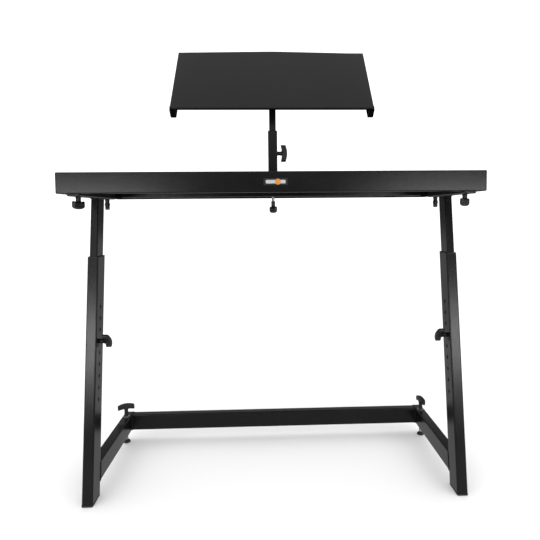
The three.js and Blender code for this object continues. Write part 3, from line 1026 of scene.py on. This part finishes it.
for subpart in frame["record"]["subparts"]:
    stud = frame["nodes"][subpart["node"]]
    if not stud.hide_render:
        stud.data.materials.clear()
        stud.data.materials.append(MATERIALS[subpart["material_slot"]])


# ---- floor, light and camera ---------------------------------------------------------------------


FLOOR_HALF = 14
FLOOR_DROP = 0.4 * MM
WORLD_STRENGTH = 1.34
SOFTBOX_AZIMUTH = math.radians(27)
SOFTBOX_ELEVATION = math.radians(0.4)
SOFTBOX_DISTANCE = 3.4
SOFTBOX_SIZE = (1.3, 0.45)
SOFTBOX_POWER = 24
SOFTBOX_TARGET = Vector((0, 0, 0.5))


def floor():
    """A pale matt floor with a faint tone to it."""
    bm = bmesh.new()
    bmesh.ops.create_grid(bm, x_segments=8, y_segments=8, size=FLOOR_HALF)
    obj = to_object("floor", bm)
    material, shader = new_material("pale_floor")
    tone = noise_at(material, 3, 3)
    colour = mix_colour(material, tone, (0.90, 0.90, 0.90), (0.92, 0.92, 0.92))
    link(material, colour, shader.inputs["Base Color"])
    shader.inputs["Roughness"].default_value = 0.9
    shader.inputs["Specular IOR Level"].default_value = 0.1
    obj.data.materials.append(material)
    obj.location.z = -FLOOR_DROP


def world():
    """Plain white light from all round."""
    surroundings = bpy.data.worlds.new("studio")
    surroundings.use_nodes = True
    background = surroundings.node_tree.nodes["Background"]
    background.inputs["Color"].default_value = (1, 1, 1, 1)
    background.inputs["Strength"].default_value = WORLD_STRENGTH
    bpy.context.scene.world = surroundings


def softbox(name, azimuth):
    """A low area light aimed at the middle of the object; azimuth 0 is in front of it."""
    data = bpy.data.lights.new(name, "AREA")
    data.shape = "RECTANGLE"
    data.size, data.size_y = SOFTBOX_SIZE
    data.energy = SOFTBOX_POWER
    obj = bpy.data.objects.new(name, data)
    bpy.context.scene.collection.objects.link(obj)
    level_part = math.cos(SOFTBOX_ELEVATION)
    away = Vector((
        math.sin(azimuth) * level_part,
        -math.cos(azimuth) * level_part,
        math.sin(SOFTBOX_ELEVATION),
    ))
    obj.location = SOFTBOX_TARGET + away * SOFTBOX_DISTANCE
    obj.rotation_euler = away.to_track_quat("Z", "Y").to_euler()


def card(name, centre, size, turn, shade):
    """A card that only reflections see, which shapes the highlights on the black paint."""
    bm = bmesh.new()
    bmesh.ops.create_grid(bm, x_segments=1, y_segments=1, size=0.5)
    obj = to_object(name, bm)
    obj.scale = (size[0], size[1], 1)
    obj.location = centre
    obj.rotation_euler = turn
    material, shader = new_material(name)
    shader.inputs["Base Color"].default_value = (0, 0, 0, 1)
    shader.inputs["Emission Color"].default_value = (1, 1, 1, 1)
    shader.inputs["Emission Strength"].default_value = shade
    shader.inputs["Specular IOR Level"].default_value = 0
    obj.data.materials.append(material)
    obj.visible_camera = obj.visible_diffuse = False
    obj.visible_shadow = obj.visible_transmission = False


UPRIGHT = (math.pi / 2, 0, 0)
SIDEWAYS = (math.pi / 2, 0, math.pi / 2)
FLAT = (0, 0, 0)
# name, centre, size, turn and brightness of each card
CARDS = (
    ("front_card", (0, -3.7, 1.3), (8.0, 3.2), UPRIGHT, 0.1),
    ("front_high_card", (-0.85, -3.55, 1.9), (2.6, 1.1), UPRIGHT, 1.2),
    ("left_card", (-3.4, -1.3, 1.3), (5.0, 3.2), SIDEWAYS, 0.4),
    ("right_card", (3.4, -1.3, 1.3), (5.0, 3.2), SIDEWAYS, 0.4),
    ("rear_low_card", (0, 1.1, 0.28), (6.8, 0.56), UPRIGHT, 0.4),
    ("rear_high_card", (0, 1.15, 1.7), (6.8, 2.4), UPRIGHT, 0.12),
    ("top_card", (0, 0.7, 2.8), (6.8, 3.0), FLAT, 0.72),
    ("ceiling_card", (0, -2.3, 2.8), (6.8, 3.0), FLAT, 0.4),
    ("floor_card", (0, 0.15, 0.0005), (6.8, 1.8), FLAT, 0.5),
    ("front_floor_card", (0, -2.3, 0.0005), (6.8, 3.1), FLAT, 0.05),
)


CAMERA_AT = Vector((-0.0162, -1.2627, 0.6586))
CAMERA_YAW = math.radians(2.251)
CAMERA_PITCH = math.radians(3.486)
CAMERA_ROLL = math.radians(-0.5)
LENS = 32.674
SENSOR_WIDTH = 36
SHIFT = (-0.0315, -0.0501)


def camera():
    """The camera that the object is seen with, turned by yaw, then pitch, then roll."""
    data = bpy.data.cameras.new("camera")
    data.lens = LENS
    data.sensor_width = SENSOR_WIDTH
    data.shift_x, data.shift_y = SHIFT
    obj = bpy.data.objects.new("camera", data)
    bpy.context.scene.collection.objects.link(obj)
    ahead = Vector((
        math.sin(CAMERA_YAW) * math.cos(CAMERA_PITCH),
        math.cos(CAMERA_YAW) * math.cos(CAMERA_PITCH),
        -math.sin(CAMERA_PITCH),
    ))
    right = Vector((math.cos(CAMERA_YAW), -math.sin(CAMERA_YAW), 0))
    up = right.cross(ahead)
    rolled_right = right * math.cos(CAMERA_ROLL) + up * math.sin(CAMERA_ROLL)
    rolled_up = up * math.cos(CAMERA_ROLL) - right * math.sin(CAMERA_ROLL)
    turned = Matrix((rolled_right, rolled_up, -ahead)).transposed().to_4x4()
    obj.matrix_world = Matrix.Translation(CAMERA_AT) @ turned
    bpy.context.scene.camera = obj


bpy.context.scene.view_settings.view_transform = "Standard"
floor()
world()
for side_name, side in SIDES.items():
    softbox(f"softbox_{side_name}", side * SOFTBOX_AZIMUTH)
for entry in CARDS:
    card(*entry)
camera()
